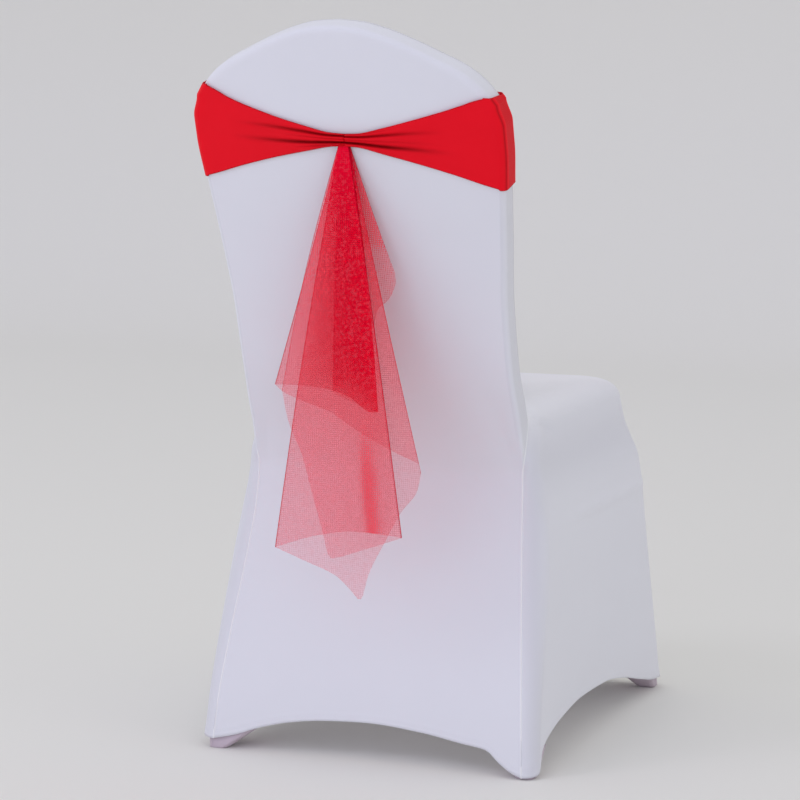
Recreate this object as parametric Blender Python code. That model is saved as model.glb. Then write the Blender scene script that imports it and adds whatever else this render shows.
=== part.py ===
"""Fitted stretch cover for a crown-backed banquet chair, with a gathered sash and its sheer tail.

Metres, +Z up, the floor at z = 0. The back faces +Y and the seat reaches towards -Y.
The origin is on the floor, at the middle of the whole cover's width and depth.
Depths in the tables are measured from the line of the rear feet, towards the back.
"""
import math

import bpy
import numpy as np

# Overall places
REAR_FEET_Y = 0.2092
FLOOR = 0.0

# Cloth
CLOTH = 0.002
SASH_CLOTH = 0.0015
TAIL_CLOTH = 0.001
SEAM_GAP = 0.0012
REST_GAP = 0.0012
CORNER_REST = 0.0065
COLUMN_SLACK = 1e-9

# Backrest: its edge turns over a round corner and runs forward
EDGE_ROUND = 0.007
BACK_DEPTH = 0.030
RECLINE = math.radians(17.0)
BACK_BOW = 0.016
BOW_START = 0.40
BOW_LENGTH = 0.20
PADDING = 0.016
WRAP_START = 0.375
WRAP_LENGTH = 0.060
LEAN = 0.026
LEAN_START = 0.60
LEAN_LENGTH = 0.22

# The back panel's side edge at each height: how far behind the rear feet and how far out
BACK_EDGE = (
    {"height": 0.000, "behind": 0.0175, "half": 0.2118},
    {"height": 0.060, "behind": 0.0077, "half": 0.2080},
    {"height": 0.150, "behind": -0.0165, "half": 0.1995},
    {"height": 0.250, "behind": -0.0473, "half": 0.1890},
    {"height": 0.320, "behind": -0.0660, "half": 0.1830},
    {"height": 0.365, "behind": -0.0715, "half": 0.1815},
    {"height": 0.400, "behind": -0.0625, "half": 0.1850},
    {"height": 0.440, "behind": -0.0465, "half": 0.1855},
    {"height": 0.500, "behind": -0.0225, "half": 0.1837},
    {"height": 0.580, "behind": 0.0005, "half": 0.1847},
    {"height": 0.660, "behind": 0.0235, "half": 0.1908},
    {"height": 0.740, "behind": 0.0500, "half": 0.1980},
    {"height": 0.790, "behind": 0.0660, "half": 0.2022},
    {"height": 0.815, "behind": 0.0730, "half": 0.2028},
    {"height": 0.842, "behind": 0.0790, "half": 0.1980},
    {"height": 0.940, "behind": 0.1030, "half": 0.1980},
)
SHOULDER = 0.842

# The crown's outline from the middle out to the shoulder
CROWN = (
    {"across": 0.000, "height": 0.9313},
    {"across": 0.030, "height": 0.9290},
    {"across": 0.060, "height": 0.9218},
    {"across": 0.090, "height": 0.9110},
    {"across": 0.125, "height": 0.8958},
    {"across": 0.155, "height": 0.8820},
    {"across": 0.180, "height": 0.8640},
    {"across": 0.198, "height": 0.8420},
)

# The back hem's arch, from the rear right foot to the rear left foot
BACK_HEM = (
    {"across": -0.212, "height": 0.0025},
    {"across": -0.198, "height": 0.0072},
    {"across": -0.183, "height": 0.0165},
    {"across": -0.162, "height": 0.0320},
    {"across": -0.130, "height": 0.0362},
    {"across": -0.070, "height": 0.0446},
    {"across": 0.000, "height": 0.0494},
    {"across": 0.065, "height": 0.0468},
    {"across": 0.110, "height": 0.0412},
    {"across": 0.150, "height": 0.0315},
    {"across": 0.185, "height": 0.0195},
    {"across": 0.212, "height": 0.0135},
)
HEM_PULL = 0.010

# The side hems' arches, by depth; the right one drops steeply beside the rear foot
SIDE_HEM = (
    {"behind": -0.540, "left": 0.0150, "right": 0.0150},
    {"behind": -0.500, "left": 0.0170, "right": 0.0170},
    {"behind": -0.440, "left": 0.0300, "right": 0.0300},
    {"behind": -0.370, "left": 0.0480, "right": 0.0480},
    {"behind": -0.300, "left": 0.0580, "right": 0.0580},
    {"behind": -0.200, "left": 0.0605, "right": 0.0605},
    {"behind": -0.110, "left": 0.0520, "right": 0.0540},
    {"behind": -0.040, "left": 0.0330, "right": 0.0422},
    {"behind": -0.012, "left": 0.0215, "right": 0.0310},
    {"behind": 0.004, "left": 0.0160, "right": 0.0060},
    {"behind": 0.018, "left": 0.0135, "right": 0.0025},
)
FRONT_HEM_RISE = 0.030
SIDE_PULL = 0.008

# Plan of the seat part at each height: rear and front half widths, corner radii and the front's depth
SKIRT = (
    {"height": 0.000, "rear": 0.2325, "front": 0.2412, "rear_round": 0.0207, "front_round": 0.020, "reach": 0.5375},
    {"height": 0.060, "rear": 0.2280, "front": 0.2395, "rear_round": 0.0200, "front_round": 0.021, "reach": 0.5215},
    {"height": 0.150, "rear": 0.2235, "front": 0.2375, "rear_round": 0.0240, "front_round": 0.023, "reach": 0.4975},
    {"height": 0.250, "rear": 0.2179, "front": 0.2350, "rear_round": 0.0289, "front_round": 0.026, "reach": 0.4710},
    {"height": 0.310, "rear": 0.2110, "front": 0.2345, "rear_round": 0.0270, "front_round": 0.029, "reach": 0.4550},
    {"height": 0.350, "rear": 0.2052, "front": 0.2305, "rear_round": 0.0241, "front_round": 0.033, "reach": 0.4443},
    {"height": 0.380, "rear": 0.2000, "front": 0.2190, "rear_round": 0.0240, "front_round": 0.040, "reach": 0.4363},
    {"height": 0.400, "rear": 0.1975, "front": 0.2140, "rear_round": 0.0300, "front_round": 0.045, "reach": 0.4310},
    {"height": 0.430, "rear": 0.1970, "front": 0.2115, "rear_round": 0.0400, "front_round": 0.050, "reach": 0.4230},
)
SEAT_SHOULDER = 0.430
SEAT_RISE = 0.0265
SEAT_CROWN = 0.006
SEAT_ROUND = 0.15

# Heights of the rows that the back panel and the seat part share at their seam
ROWS_TO_SEAT = (0.0, 0.022, 0.055, 0.105, 0.165, 0.225, 0.285, 0.335, 0.375, 0.393, 0.411, 0.430)
ROWS_ABOVE = (0.455, 0.500, 0.550, 0.605, 0.660, 0.715, 0.765, 0.805, 0.828, 0.842)
SEAT_RINGS = (0.03, 0.07, 0.11, 0.15, 0.28, 0.46, 0.64, 0.82)
LAST_RING_HALF = 0.020
SHARES = np.array([1.0] + [1.0 - p for p in SEAT_RINGS] + [0.0] + [p - 1.0 for p in SEAT_RINGS[::-1]] + [-1.0])

# Foot pockets: centres, half sizes and heights
FOOT_HALF = 0.0125
FOOT_ROUND = 0.007
POCKET_TOP = 0.034
FEET = (
    {"name": "pocket_rear_left", "across": 0.2075, "behind": 0.0000, "side": 1, "end": 1, "inner": 0.058, "clear": -0.0003},
    {"name": "pocket_rear_right", "across": -0.2130, "behind": 0.0000, "side": -1, "end": 1, "inner": 0.045, "clear": -0.0003},
    {"name": "pocket_front_left", "across": 0.2215, "behind": -0.5200, "side": 1, "end": -1, "inner": 0.045, "clear": 0.0009},
    {"name": "pocket_front_right", "across": -0.2215, "behind": -0.5200, "side": -1, "end": -1, "inner": 0.045, "clear": 0.0009},
)

# Sash: its top and bottom edges across the back, and its plain width round the front
SASH_CLEAR = 0.0008
SHOULDER_SLACK = 0.0014
SASH_FRONT_CLEAR = 0.0030
BEND_ROUND = 0.005
SASH_EDGE = (
    {"across": 0.000, "top": 0.8025, "bottom": 0.7875},
    {"across": 0.018, "top": 0.8035, "bottom": 0.7860},
    {"across": 0.050, "top": 0.8105, "bottom": 0.7795},
    {"across": 0.090, "top": 0.8210, "bottom": 0.7710},
    {"across": 0.140, "top": 0.8355, "bottom": 0.7585},
    {"across": 0.180, "top": 0.8500, "bottom": 0.7470},
    {"across": 0.203, "top": 0.8570, "bottom": 0.7410},
)
SASH_PLEATS = 2.5
PLEAT_HEIGHT = 0.0060
PLEAT_REACH = 0.130

# Sheer tail: each fold's line from the gather to its lower end, and how deep the gores lie
TAIL_TOP = 0.7851
TAIL_NECK_HALF = 0.0058
NECK_FRONT = 0.0918
NECK_STEP = 0.00145
END_FRONT = 0.1020
END_STEP = 0.0075
GORE_BILLOW = 0.35
LONG_FOLDS = (
    {"across": 0.074, "height": 0.495, "bow": 0.002},
    {"across": -0.082, "height": 0.311, "bow": -0.005},
    {"across": 0.088, "height": 0.289, "bow": 0.002},
    {"across": -0.105, "height": 0.407, "bow": 0.000},
)
LONG_HEMS = (
    (
        {"across": 0.077, "height": 0.486},
        {"across": 0.068, "height": 0.451},
        {"across": 0.049, "height": 0.407},
        {"across": 0.026, "height": 0.322},
        {"across": 0.011, "height": 0.280},
    ),
    (
        {"across": -0.054, "height": 0.315},
        {"across": 0.030, "height": 0.308},
    ),
    (
        {"across": 0.047, "height": 0.275},
        {"across": 0.006, "height": 0.259},
        {"across": -0.026, "height": 0.230},
        {"across": -0.061, "height": 0.307},
        {"across": -0.101, "height": 0.371},
    ),
)
SHORT_FOLDS = (
    {"across": -0.104, "height": 0.404, "bow": 0.000},
    {"across": 0.087, "height": 0.493, "bow": 0.000},
    {"across": -0.050, "height": 0.465, "bow": -0.004},
    {"across": 0.010, "height": 0.500, "bow": 0.002},
    {"across": -0.071, "height": 0.637, "bow": 0.000},
)
SHORT_HEMS = (
    (
        {"across": -0.025, "height": 0.441},
        {"across": 0.050, "height": 0.475},
    ),
    (
        {"across": 0.022, "height": 0.491},
        {"across": -0.042, "height": 0.470},
    ),
    (
        {"across": -0.020, "height": 0.490},
    ),
    (
        {"across": -0.044, "height": 0.567},
        {"across": -0.060, "height": 0.599},
        {"across": -0.073, "height": 0.622},
    ),
)


def read(table, along, column, at):
    """Monotone cubic curve through one column of a table, read at any places along another."""
    x = np.array([row[along] for row in table])
    y = np.array([row[column] for row in table])
    steps = np.diff(x)
    slope = np.diff(y) / steps
    product = slope[:-1] * slope[1:]
    mean = 2 * product / np.where(product > 0, slope[:-1] + slope[1:], 1)
    tangent = np.concatenate([slope[:1], np.where(product > 0, mean, 0), slope[-1:]])
    at = np.clip(at, x[0], x[-1])
    k = np.clip(np.searchsorted(x, at, side="right") - 1, 0, len(steps) - 1)
    t = (at - x[k]) / steps[k]
    rise = y[k + 1] - y[k]
    start = tangent[k] * steps[k]
    end = tangent[k + 1] * steps[k]
    return y[k] + t * start + t * t * (3 * rise - 2 * start - end) + t ** 3 * (start + end - 2 * rise)


def ease(value):
    """Smooth step from 0 to 1."""
    value = np.clip(value, 0, 1)
    return value * value * (3 - 2 * value)


def lean(points):
    """Lift the crown's left side a little, as the cloth is pulled."""
    points = points.copy()
    points[..., 2] += LEAN * points[..., 0] * ease((points[..., 2] - LEAN_START) / LEAN_LENGTH)
    return points


def material(name, colour, roughness):
    """One Principled material."""
    made = bpy.data.materials.new(name)
    made.use_nodes = True
    shader = made.node_tree.nodes["Principled BSDF"]
    shader.inputs["Base Color"].default_value = (*colour, 1.0)
    shader.inputs["Roughness"].default_value = roughness
    shader.inputs["Metallic"].default_value = 0.0
    return made


def grid_faces(rows, columns, closed=False):
    """Quads of a grid whose vertices are numbered row by row; closed joins the last column to the first."""
    r, c = np.meshgrid(np.arange(rows - 1), np.arange(columns if closed else columns - 1), indexing="ij")
    n = (c + 1) % columns
    return np.stack([r * columns + c, r * columns + n, (r + 1) * columns + n, (r + 1) * columns + c], -1).reshape(-1, 4)


def cloth_object(name, points, faces, thickness, offset, colour, roughness):
    """A closed sheet: an open surface whose faces point out, thickened by a Solidify modifier."""
    points = np.asarray(points, dtype=float).reshape(-1, 3).copy()
    points[:, 1] += REAR_FEET_Y
    mesh = bpy.data.meshes.new(name)
    mesh.from_pydata(points.tolist(), [], [list(face) for face in faces])
    mesh.validate()
    made = bpy.data.objects.new(name, mesh)
    bpy.context.collection.objects.link(made)
    weld = made.modifiers.new("weld", "WELD")
    weld.merge_threshold = 0.00005
    solid = made.modifiers.new("thickness", "SOLIDIFY")
    solid.thickness = thickness
    solid.offset = offset
    mesh.shade_smooth()
    mesh.materials.append(material(name, colour, roughness))
    return made


def back_y(across, height):
    """Depth of the back's outer face: its side edge plus the bow across the backrest."""
    inward = np.clip(1 - (across / read(BACK_EDGE, "height", "half", height)) ** 2, 0, 1)
    bow = BACK_BOW * inward * ease((height - BOW_START) / BOW_LENGTH)
    low = HEM_PULL * inward * ease(1 - height / WRAP_START)
    return read(BACK_EDGE, "height", "behind", height) + bow - low


def outline_half(height):
    """Half width of the back's outline: the side edge, then the crown's curve above the shoulder."""
    across = np.linspace(0.0, CROWN[-1]["across"], 60)
    crown = read(CROWN, "across", "height", across)
    over = np.interp(-np.asarray(height), -crown, across)
    return np.where(np.asarray(height) <= SHOULDER, read(BACK_EDGE, "height", "half", height), np.maximum(over, 0.05))


def wrap(height):
    """How far the back panel turns over the backrest's edge: none below the waist."""
    return ease((height - WRAP_START) / WRAP_LENGTH)


def forward(points, distance):
    """Move points towards the front, square to the reclined back."""
    step = np.array([0.0, -math.cos(RECLINE), math.sin(RECLINE)])
    return points + np.asarray(distance)[..., None] * step


def seam_height(row_height, hem):
    """Height of a shared row where the hem has this height: the hem's arch fades towards the seat."""
    return row_height + hem * (1 - np.minimum(row_height / SEAT_SHOULDER, 1)) ** 3


def back_grid():
    """Outline grid of the back: rows from the hem to the crown, columns from left to right."""
    rows = np.array(ROWS_TO_SEAT + ROWS_ABOVE)[:, None]
    share = SHARES[None, :]
    half = read(BACK_EDGE, "height", "half", rows)
    hem = read(BACK_HEM, "across", "height", share * half[0])
    crown = read(CROWN, "across", "height", np.abs(share * half[-1])) - SHOULDER
    height = seam_height(rows, hem) + crown * (rows / SHOULDER) ** 3
    inset = EDGE_ROUND * wrap(rows)
    outer = share * read(BACK_EDGE, "height", "half", np.minimum(height, SHOULDER))
    outer = np.where(np.abs(share) > 1 - COLUMN_SLACK, outer, share * half)
    face_x = share * (np.abs(outer) / np.maximum(np.abs(share), COLUMN_SLACK) - inset)
    low = EDGE_ROUND * (rows / SHOULDER) ** 12
    return outer, face_x, height, height - low


def back_panel():
    """The back panel: one stretched sheet from the hem to the crown, turned over the backrest's edge."""
    columns = len(SHARES)
    outer_x, face_x, outer_z, face_z = back_grid()
    face = np.stack([face_x, back_y(face_x, face_z), face_z], -1)
    outline = np.stack([outer_x, back_y(outer_x, outer_z), outer_z], -1)
    rows = face.shape[0]
    ring = [(r, 0) for r in range(rows)] + [(rows - 1, c) for c in range(1, columns)]
    ring += [(r, columns - 1) for r in range(rows - 2, -1, -1)]
    start = np.array([face[r, c] for r, c in ring])
    edge = np.array([outline[r, c] for r, c in ring])
    turned = wrap(edge[:, 2])
    rounds = []
    for angle in np.radians([45.0, 90.0]):
        across = start + (edge - start) * math.sin(angle)
        rounds.append(forward(across, turned * EDGE_ROUND * (1 - math.cos(angle))))
    rounds.append(forward(edge, turned * BACK_DEPTH))
    points = np.concatenate([face.reshape(-1, 3)] + rounds)
    faces = grid_faces(rows, columns).tolist()
    index = [r * columns + c for r, c in ring]
    for k in range(len(rounds)):
        after = [rows * columns + k * len(ring) + n for n in range(len(ring))]
        for n in range(len(ring) - 1):
            if turned[n] + turned[n + 1] > 0:
                faces.append([index[n], index[n + 1], after[n + 1], after[n]])
        index = after
    return cloth_object("back_panel", lean(points), faces, CLOTH, -1.0, (0.86, 0.86, 0.93), 0.75)


def seam_points(side, hem):
    """Front edge of the back panel's turn at each shared row, where the seat part is sewn on."""
    rows = np.array(ROWS_TO_SEAT)
    height = seam_height(rows, hem)
    half = read(BACK_EDGE, "height", "half", height)
    edge = np.stack([side * half, back_y(half, height), height], -1)
    return forward(edge, wrap(height) * BACK_DEPTH)


def half_path(height, start, side):
    """Plan of the seat part at one height, from the rear seam round the side to the front's middle."""
    rear, front, rear_round, front_round, reach = (
        read(SKIRT, "height", name, height) for name in ("rear", "front", "rear_round", "front_round", "reach"))
    upper = wrap(height)
    x0 = abs(start[0]) + SEAM_GAP * (1 - upper)
    y0 = start[1] - SEAM_GAP * upper
    corner = []
    for t in (0.0, 0.28, 0.55, 0.83, 1.0):
        angle = math.pi / 2 * t
        out = math.sin(angle) * (1 - upper) + ease(t) * upper
        ahead = (1 - math.cos(angle)) * (1 - upper) + t * upper
        corner.append((x0 + (rear - x0) * out, y0 - rear_round * ahead))
    y1 = y0 - rear_round
    y2 = front_round - reach
    along = np.linspace(0.0, 1.0, 9)[1:-1]
    bow = SIDE_PULL * (1 - height / SEAT_SHOULDER)
    sides = [(rear + (front - rear) * t - bow * math.sin(math.pi * t), y1 + (y2 - y1) * t) for t in along]
    knee = [(front - front_round * (1 - math.cos(a)), y2 - front_round * math.sin(a)) for a in np.radians([0, 22, 45, 68, 90])]
    middle = [((front - front_round) * (1 - t), -reach) for t in np.linspace(0.0, 1.0, 5)[1:]]
    return np.array(corner + sides + knee + middle) * np.array([side, 1.0])


def hem_height(path, side):
    """Hem's height under each point of a half path: the side's arch, then the front's."""
    reach = SKIRT[0]["reach"]
    under = read(SIDE_HEM, "behind", "left" if side > 0 else "right", path[:, 1])
    corner = SKIRT[0]["front"] - SKIRT[0]["front_round"]
    front = FRONT_HEM_RISE * ease(1 - np.abs(path[:, 0]) / corner)
    return np.where(path[:, 1] <= COLUMN_SLACK - reach, SIDE_HEM[0]["left"] + front, under)


def seat_skirt():
    """Seat top, both sides and front: one stretched sheet, in rings from the hem to the seat's rear middle."""
    rings = []
    feet = [half_path(0.0, seam_points(side, 0.0)[0], side) for side in (1, -1)]
    hems = [hem_height(path, side) for path, side in zip(feet, (1, -1))]
    hems[0][0] = BACK_HEM[-1]["height"]
    hems[1][0] = BACK_HEM[0]["height"]
    for level, row in enumerate(ROWS_TO_SEAT):
        halves = []
        for side, hem in zip((1, -1), hems):
            height = seam_height(row, hem)
            seam = seam_points(side, hem[0])[level]
            path = np.array([half_path(h, seam, side)[n] for n, h in enumerate(height)])
            fade = ease(1 - np.arange(len(height)) / 4)
            height = height + (seam[2] - height[0]) * fade
            halves.append(np.column_stack([path, height]))
        rings.append(np.concatenate([halves[0], halves[1][-2::-1]]))
    shoulder = rings[-1]
    rear_y = shoulder[0, 1]
    for p in SEAT_RINGS:
        rise = math.sqrt(1 - (1 - min(p / SEAT_ROUND, 1)) ** 2)
        ring = shoulder.copy()
        ring[:, 0] *= 1 - p
        ring[:, 1] = rear_y + (shoulder[:, 1] - rear_y) * (1 - p)
        ring[:, 2] = shoulder[:, 2] + (SEAT_SHOULDER + SEAT_RISE - shoulder[:, 2]) * rise + SEAT_CROWN * ease(p)
        rings.append(ring)
    last = rings[-1].copy()
    last[:, 0] = np.linspace(LAST_RING_HALF, -LAST_RING_HALF, len(last))
    last[:, 1] = rear_y
    last[:, 2] = SEAT_SHOULDER + SEAT_RISE + SEAT_CROWN
    rings.append(last)
    points = np.array(rings)
    faces = grid_faces(points.shape[0], points.shape[1])[:, ::-1]
    return cloth_object("seat_skirt", points, faces, CLOTH, -1.0, (0.84, 0.84, 0.90), 0.78)


def seat_rear_height(share):
    """Height of the seat's rear edge, from the rim of the backrest (1) to the middle (0)."""
    p = 1 - np.abs(share)
    rise = np.sqrt(1 - (1 - np.minimum(p / SEAT_ROUND, 1)) ** 2)
    corner = seam_points(1, 0.0)[-1][2]
    return corner + (SEAT_SHOULDER + SEAT_RISE - corner) * rise + SEAT_CROWN * ease(p)


def padding(share, height):
    """How far the padded inside of the backrest stands forward of its edge."""
    top = read(CROWN, "across", "height", np.abs(share) * CROWN[-1]["across"])
    up = np.clip((height - SEAT_SHOULDER) / (top - SEAT_SHOULDER), 0, 1)
    return PADDING * (1 - share ** 4) * (1 - (2 * up - 1) ** 4)


def inside_back():
    """The inside of the backrest: a padded sheet from the seat to the crown, sewn to the back panel's edge."""
    share = SHARES[None, :]
    rows = np.array(ROWS_TO_SEAT[-1:] + ROWS_ABOVE)[:, None]
    half = read(BACK_EDGE, "height", "half", rows)
    up = (rows - rows[0]) / (rows[-1] - rows[0])
    crown = read(CROWN, "across", "height", np.abs(share * half[-1])) - SHOULDER
    height = rows + crown * (rows / SHOULDER) ** 3 + 0 * share
    across = share * (half - SEAM_GAP)
    base = np.stack([across, back_y(across, height), height], -1)
    base = forward(base, wrap(height) * BACK_DEPTH + SEAM_GAP + CLOTH)
    first = seat_rear_height(share[0]) + REST_GAP + CORNER_REST * share[0] ** 8
    lift = (first - base[0, :, 2])[None, :] * (1 - ease(up / 0.35))
    base[..., 2] += lift
    points = forward(base, padding(share, height))
    faces = grid_faces(points.shape[0], points.shape[1])[:, ::-1]
    return cloth_object("inside_back", lean(points), faces, CLOTH, -1.0, (0.84, 0.84, 0.90), 0.78)


def round_box(half_out, half_in, half_end, half_back, rounds, steps=4):
    """Rounded rectangle about the origin as a closed ring: out is +X, end is +Y."""
    corners = ((half_out, half_end, 0.0), (-half_in, half_end, 90.0), (-half_in, -half_back, 180.0), (half_out, -half_back, 270.0))
    ring = []
    for (x, y, start), radius in zip(corners, rounds):
        cx = x - math.copysign(radius, x)
        cy = y - math.copysign(radius, y)
        for angle in np.radians(start + np.linspace(0.0, 90.0, steps)):
            ring.append((cx + radius * math.cos(angle), cy + radius * math.sin(angle)))
    return np.array(ring)


def foot_pocket(foot):
    """A foot's pocket: a small open cup with a flat bottom that flares up inside the hem."""
    names = ("rear", "rear_round") if foot["end"] > 0 else ("front", "front_round")
    half, corner = (read(SKIRT, "height", name, POCKET_TOP) for name in names)
    inner = foot["inner"]
    seam = seam_points(foot["side"], 0.0)[1]
    path = half_path(POCKET_TOP, seam, 1)
    beside = path[path[:, 1].argsort()]
    width = np.interp(foot["behind"] - foot["end"] * inner, beside[:, 1], beside[:, 0])
    end = back_y(abs(foot["across"]) - inner, POCKET_TOP) if foot["end"] > 0 else path[-1, 1]
    clear = CLOTH + foot["clear"]
    out_top = min(half, width) - clear - abs(foot["across"])
    end_top = abs(end) - clear - foot["end"] * foot["behind"]
    top_round = corner - clear
    bottom = round_box(FOOT_HALF, FOOT_HALF, FOOT_HALF, FOOT_HALF, [FOOT_ROUND] * 4)
    top = round_box(out_top, inner, end_top, inner, [top_round, 0.012, 0.012, 0.012])
    rings = [(bottom * 0.35, FLOOR), (bottom * 0.93, FLOOR), (bottom, FLOOR + 0.0012)]
    rings += [(bottom + (top - bottom) * t, POCKET_TOP * t) for t in (0.5, 1.0)]
    flip = np.array([foot["side"], foot["end"]])
    place = np.array([foot["across"], foot["behind"]])
    points = np.array([np.column_stack([ring * flip + place, np.full(len(ring), z)]) for ring, z in rings])
    faces = grid_faces(points.shape[0], points.shape[1], closed=True).tolist()
    faces.append(list(range(points.shape[1]))[::-1])
    if foot["side"] * foot["end"] < 0:
        faces = [face[::-1] for face in faces]
    return cloth_object(foot["name"], points, faces, CLOTH, -1.0, (0.86, 0.76, 0.80), 0.8)


def sash():
    """The sash: one closed band round the backrest, drawn together by a gather at the middle of the back."""
    face = np.array([0.0, 0.018, 0.045, 0.075, 0.105, 0.14, 0.17, 0.193])
    face = face / face[-1]
    down = np.linspace(1.0, -1.0, 9)[:, None]
    columns = []
    for side in (1, -1):
        half_columns = []
        for kind, values in (("face", face), ("turn", (30.0, 60.0, 90.0)), ("rim", (1.0,)),
                             ("bend", (45.0, 90.0)), ("front", (0.93, *(1 - p for p in SEAT_RINGS[3:]), 0.0))):
            for value in values:
                half_columns.append(sash_column(kind, value, side, down[:, 0]))
        columns.append(half_columns)
    ring = columns[0] + columns[1][-2:0:-1]
    points = np.array(ring).transpose(1, 0, 2)
    faces = grid_faces(points.shape[0], points.shape[1], closed=True)
    return cloth_object("sash", lean(points), faces, SASH_CLOTH, -1.0, (0.75, 0.01, 0.03), 0.5)


def sash_column(kind, value, side, down):
    """One column of the sash, from its top edge to its bottom edge, at a place along its path."""
    clear = SASH_CLEAR + SASH_CLOTH
    widest = 0.196
    across = value * widest if kind == "face" else SASH_EDGE[-1]["across"]
    top = read(SASH_EDGE, "across", "top", across)
    bottom = read(SASH_EDGE, "across", "bottom", across)
    height = (top + bottom) / 2 + down * (top - bottom) / 2
    clear = clear + SHOULDER_SLACK * ease((height - 0.79) / 0.05)
    half = outline_half(height)
    flat = half - EDGE_ROUND
    corner = EDGE_ROUND + clear
    full = BACK_DEPTH + SEAM_GAP + CLOTH
    zero = np.zeros_like(height)
    if kind == "face":
        x = value * flat
        fade = ease(1 - across / PLEAT_REACH)
        ridge = PLEAT_HEIGHT * fade * (0.5 + 0.5 * np.cos(2 * math.pi * SASH_PLEATS * (down + 1) / 2))
        depth = -clear - ridge
    elif kind == "turn":
        angle = math.radians(value)
        x = flat + corner * math.sin(angle)
        depth = EDGE_ROUND - corner * math.cos(angle) + zero
    elif kind == "rim":
        x = half + clear
        depth = full - SASH_FRONT_CLEAR + zero
    elif kind == "bend":
        angle = math.radians(value)
        x = half + clear - BEND_ROUND * (1 - math.cos(angle))
        depth = full + SASH_FRONT_CLEAR + SASH_CLOTH - BEND_ROUND * (1 - math.sin(angle))
    else:
        x = value * (half + clear - BEND_ROUND)
        share = x / read(BACK_EDGE, "height", "half", height)
        depth = full + padding(share, height) + SASH_FRONT_CLEAR + SASH_CLOTH
    if kind in ("face", "turn"):
        height = height - np.minimum(depth, 0) * math.sin(RECLINE)
    base = np.stack([side * x, back_y(np.minimum(x, half), height), height], -1)
    return forward(base, depth)


def tail_sheet(name, folds, hems, first):
    """A sheer sheet hung from the gather: gores that fold back and forth, each hem with its own outline."""
    top_down = np.array([0.0, 0.06, 0.15, 0.27, 0.40, 0.54, 0.68, 0.82, 0.92, 1.0])[:, None]
    columns = []
    for k, hem in enumerate(hems):
        left, right = folds[k], folds[k + 1]
        knots = [left, *hem, right]
        x = np.array([knot["across"] for knot in knots])
        z = np.array([knot["height"] for knot in knots])
        run = np.concatenate([[0.0], np.cumsum(np.hypot(np.diff(x), np.diff(z)))])
        share = run / run[-1]
        extra = [(share[0] + share[1]) / 2] if len(knots) < 4 else []
        share = np.sort(np.concatenate([share, extra]))
        depth = first + k
        way = math.copysign(1.0, right["across"] - left["across"])
        for s in share:
            x_end = np.interp(s, run / run[-1], x)
            z_end = np.interp(s, run / run[-1], z)
            x_neck = way * TAIL_NECK_HALF * (2 * s - 1)
            bow = left["bow"] * (1 - s) + right["bow"] * s
            columns.append(tail_column(x_neck, x_end, z_end, depth, bow, top_down, share=s))
        if k + 1 < len(hems):
            for angle in np.radians([45.0, 90.0, 135.0]):
                out = way * math.sin(angle)
                turn_depth = depth + (1 - math.cos(angle)) / 2
                columns.append(tail_column(way * TAIL_NECK_HALF, right["across"], right["height"], turn_depth,
                                           right["bow"], top_down, out))
    points = np.stack(columns, 1)
    faces = grid_faces(points.shape[0], points.shape[1])
    return cloth_object(name, points, faces, TAIL_CLOTH, 0.0, (0.80, 0.05, 0.10), 0.6)


def tail_column(x_neck, x_end, z_end, depth, bow, down, out=0.0, share=0.0):
    """One line of the tail from the gather to the hem; out swells it round a fold's turn.

    Share is its place across its gore, from 0 to 1, and the gore billows backwards between its folds.
    """
    spread = (END_STEP - NECK_STEP) * down
    step = NECK_STEP + spread
    y = NECK_FRONT + (END_FRONT - NECK_FRONT) * down - depth * step + GORE_BILLOW * spread * math.sin(math.pi * share)
    x = x_neck + (x_end - x_neck) * down + bow * np.sin(math.pi * down) + out * step / 2
    z = TAIL_TOP + (z_end - TAIL_TOP) * down
    return np.concatenate([x, y, z], 1)


def build():
    """Clear the scene and make every piece."""
    for old in list(bpy.data.objects):
        bpy.data.objects.remove(old)
    back_panel()
    seat_skirt()
    inside_back()
    for foot in FEET:
        foot_pocket(foot)
    sash()
    tail_sheet("tail_long", LONG_FOLDS, LONG_HEMS, 0)
    tail_sheet("tail_short", SHORT_FOLDS, SHORT_HEMS, len(LONG_HEMS))


build()
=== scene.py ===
"""A white stretch chair cover with a gathered red sash and its sheer tail, in a pale studio.

Metres, +Z up, the floor at z = 0; the back faces +Y. Depths in the tables are measured from the
line of the rear feet, towards the back, as a maker would measure them on the chair.
"""

import math

import bpy
import numpy as np
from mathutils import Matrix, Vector


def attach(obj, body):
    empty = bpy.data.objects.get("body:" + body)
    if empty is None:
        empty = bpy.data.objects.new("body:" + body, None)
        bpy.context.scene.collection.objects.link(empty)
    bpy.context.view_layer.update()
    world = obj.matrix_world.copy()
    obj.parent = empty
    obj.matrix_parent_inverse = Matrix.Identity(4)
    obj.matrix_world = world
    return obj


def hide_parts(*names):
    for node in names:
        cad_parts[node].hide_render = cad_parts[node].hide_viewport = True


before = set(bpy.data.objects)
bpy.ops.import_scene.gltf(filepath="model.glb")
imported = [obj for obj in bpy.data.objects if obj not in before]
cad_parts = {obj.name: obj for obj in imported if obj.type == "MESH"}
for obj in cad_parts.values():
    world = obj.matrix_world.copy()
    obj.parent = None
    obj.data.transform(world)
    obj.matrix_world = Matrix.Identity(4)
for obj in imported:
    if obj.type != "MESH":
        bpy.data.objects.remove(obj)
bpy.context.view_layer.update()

# Back panel
# One piece of white stretch knit from the arched hem up to the crown. Above the waist it turns over
# the backrest's edge, and below it the side seams run down to the rear feet. The hem is turned up
# and twin-stitched.

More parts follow.
